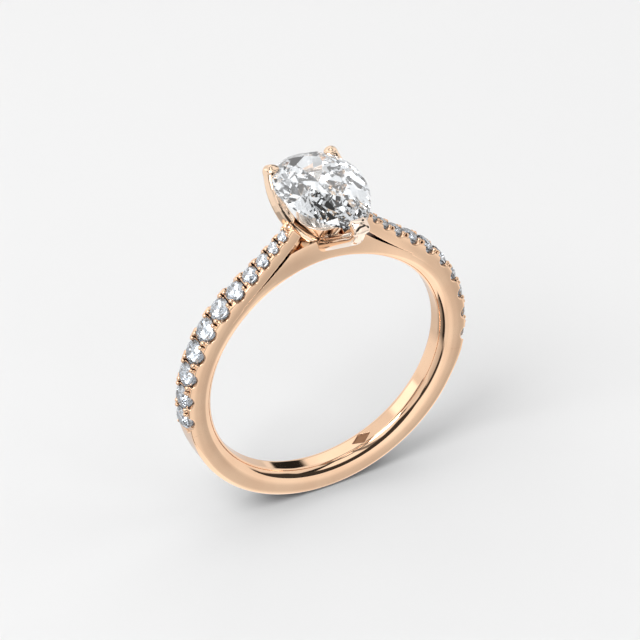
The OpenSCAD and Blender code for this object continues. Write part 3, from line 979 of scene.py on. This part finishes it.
def studio_world():
    """A soft white room: light panels with dark gaps between them for metal and gems to reflect."""
    world = bpy.data.worlds.new("studio")
    bpy.context.scene.world = world
    world.use_nodes = True
    tree = world.node_tree
    tree.nodes.clear()
    link = tree.links.new
    where = add(tree, "ShaderNodeTexCoord").outputs["Generated"]
    split = add(tree, "ShaderNodeSeparateXYZ")
    link(where, split.inputs["Vector"])
    around = add(tree, "ShaderNodeTexGradient", gradient_type="RADIAL")
    link(where, around.inputs["Vector"])
    rise = add(tree, "ShaderNodeMapRange")
    rise.inputs["From Min"].default_value = -1.0
    link(split.outputs["Z"], rise.inputs["Value"])

    def blend(lower, upper, height, soft):
        """One colour below a height (-1 to 1), another above it."""
        middle = (height + 1) / 2
        share = ramp(tree, [(middle - soft, 0.0), (middle + soft, 1.0)])
        link(rise.outputs["Result"], share.inputs["Fac"])
        mix = add(tree, "ShaderNodeMix", data_type="RGBA")
        link(share.outputs["Color"], mix.inputs["Factor"])
        link(lower, mix.inputs[6])
        link(upper, mix.inputs[7])
        return mix.outputs[2]

    def times(a, b):
        """Two colours multiplied."""
        mix = add(tree, "ShaderNodeMix", data_type="RGBA", blend_type="MULTIPLY")
        mix.inputs["Factor"].default_value = 1.0
        link(a, mix.inputs[6])
        link(b, mix.inputs[7])
        return mix.outputs[2]

    def sector(stops):
        """A grey ramp around the ring: 0 is -X, 0.25 is -Y, 0.5 is +X and 0.75 is +Y."""
        node = ramp(tree, stops)
        link(around.outputs["Fac"], node.inputs["Fac"])
        return node.outputs["Color"]

    def level(stops):
        """A grey ramp up the room, from -1 straight down to 1 straight up."""
        node = ramp(tree, [((h + 1) / 2, v) for h, v in stops])
        link(rise.outputs["Result"], node.inputs["Fac"])
        return node.outputs["Color"]

    table_top = level(
        [(-1.0, 1.0), (-0.78, 0.95), (-0.71, 0.74), (-0.62, 0.73), (-0.4, 0.84), (-0.15, 1.15), (0.0, 1.15)]
    )
    below = sector(
        [
            # a dark gap at the left, then the bright front
            (0.0, 0.6), (0.085, 0.3), (0.1, 0.04), (0.146, 0.04), (0.157, 1.25), (0.24, 1.25), (0.25, 1.35),
            (0.29, 1.35), (0.31, 1.05), (0.33, 1.0), (0.35, 0.86), (0.372, 0.86),
            # the right side and the back
            (0.39, 1.35), (0.58, 1.35), (0.61, 1.0), (0.67, 0.97), (0.84, 1.0), (0.9, 0.72), (1.0, 0.6),
        ]
    )
    skirting = sector(
        [
            (0.0, 0.95), (0.05, 0.85), (0.14, 0.6), (0.15, 0.05), (0.185, 0.05), (0.2, 1.25), (0.29, 1.2),
            (0.31, 1.05), (0.4, 1.0), (0.58, 1.0), (0.6, 0.76), (0.66, 0.76), (0.69, 1.0), (1.0, 1.0),
        ]
    )
    horizon = sector([(0.0, 0.95), (0.12, 0.95), (0.135, 0.05), (0.43, 0.05), (0.46, 0.95), (1.0, 0.95)])
    walls = sector(
        [
            # dark front
            (0.0, 0.85), (0.1, 0.9), (0.14, 1.0), (0.155, 0.05), (0.42, 0.05), (0.44, 1.0), (0.55, 1.0),
            # doorway at the right
            (0.605, 0.95), (0.612, 0.02), (0.65, 0.02), (0.655, 0.85), (0.83, 0.88),
            # bright window at the back, and a dark gap beside it
            (0.86, 1.6), (0.89, 1.6), (0.92, 0.8), (0.95, 0.12), (0.97, 0.12), (0.98, 0.85),
        ]
    )
    ceiling = sector(
        [
            # beams over the front
            (0.0, 1.0), (0.06, 1.0), (0.065, 0.06), (0.1, 0.06), (0.105, 1.15), (0.2, 1.15), (0.205, 0.25),
            (0.235, 0.25), (0.24, 1.25), (0.34, 1.25), (0.345, 0.03), (0.385, 0.03), (0.39, 0.95),
            (0.5, 0.95), (0.505, 0.12), (0.54, 0.12), (0.545, 1.1),
            # bright panels over the back, with one more beam
            (0.62, 0.95), (0.67, 1.3), (0.76, 1.3), (0.8, 0.95), (0.86, 0.95), (0.9, 1.2), (0.94, 1.2),
            (0.945, 0.05), (0.98, 0.05), (0.985, 1.0),
        ]
    )
    lamps = level([(0.0, 1.0), (0.88, 1.0), (0.9, 0.2), (0.95, 0.2), (0.965, 1.3), (1.0, 1.3)])
    room = blend(level([(-1.0, 1.2), (0.0, 1.1)]), times(table_top, below), -0.885, 0.005)
    room = blend(room, skirting, -0.48, 0.03)
    room = blend(room, horizon, 0.0, 0.005)
    room = blend(room, walls, 0.11, 0.01)
    room = blend(room, ceiling, 0.5, 0.015)
    room = times(room, lamps)
    studio = add(tree, "ShaderNodeBackground", Strength=1.0)
    link(room, studio.inputs["Color"])
    plain = add(tree, "ShaderNodeBackground", Strength=1.0)
    plain.inputs["Color"].default_value = (BACKDROP, BACKDROP, BACKDROP, 1)
    ray = add(tree, "ShaderNodeLightPath")
    choose = add(tree, "ShaderNodeMixShader")
    link(ray.outputs["Is Camera Ray"], choose.inputs[0])
    link(studio.outputs["Background"], choose.inputs[1])
    link(plain.outputs["Background"], choose.inputs[2])
    out = add(tree, "ShaderNodeOutputWorld")
    link(choose.outputs["Shader"], out.inputs["Surface"])


studio_world()


def direction(azimuth, elevation):
    """Unit vector from the ring, with angles in radians: azimuth 0 is -Y, and +X is 90 degrees round."""
    flat = math.cos(elevation)
    return Vector((math.sin(azimuth) * flat, -math.cos(azimuth) * flat, math.sin(elevation)))


def key_light(azimuth, elevation, distance, size, power):
    """A square softbox aimed at the ring. Angles in degrees, distances in mm."""
    light = bpy.data.lights.new("key", "AREA")
    light.shape = "SQUARE"
    light.size = size * MM
    light.energy = power
    lamp = bpy.data.objects.new("key", light)
    bpy.context.scene.collection.objects.link(lamp)
    away = direction(math.radians(azimuth), math.radians(elevation))
    lamp.location = away * distance * MM
    lamp.rotation_mode = "QUATERNION"
    lamp.rotation_quaternion = away.to_track_quat("Z", "Y")
    lamp.visible_camera = False


key_light(azimuth=-75, elevation=55, distance=900, size=480, power=4.1)

VIEW_AZ = math.radians(-28.108)
VIEW_EL = math.radians(38.213)
VIEW_DIST = 250.0
# How far the view's centre lies from the middle of the finger hole, in mm right and up
VIEW_SHIFT = (0.154, -2.613)
SENSOR = 36.0
PX_PER_MM = 15.158
IMAGE = 640

back = direction(VIEW_AZ, VIEW_EL)
right = Vector((math.cos(VIEW_AZ), math.sin(VIEW_AZ), 0))
up = back.cross(right)
camera_data = bpy.data.cameras.new("camera")
camera_data.sensor_width = SENSOR
camera_data.lens = PX_PER_MM * VIEW_DIST / IMAGE * SENSOR
camera_data.clip_start = 0.01
camera = bpy.data.objects.new("camera", camera_data)
bpy.context.scene.collection.objects.link(camera)
camera.location = (back * VIEW_DIST - right * VIEW_SHIFT[0] - up * VIEW_SHIFT[1]) * MM
camera.rotation_mode = "QUATERNION"
camera.rotation_quaternion = Matrix((right, up, back)).transposed().to_quaternion()
bpy.context.scene.camera = camera

scene = bpy.context.scene
scene.view_settings.view_transform = "Standard"
scene.cycles.max_bounces = 24
scene.cycles.transmission_bounces = 20
scene.cycles.glossy_bounces = 8
scene.cycles.caustics_reflective = False
scene.cycles.caustics_refractive = False
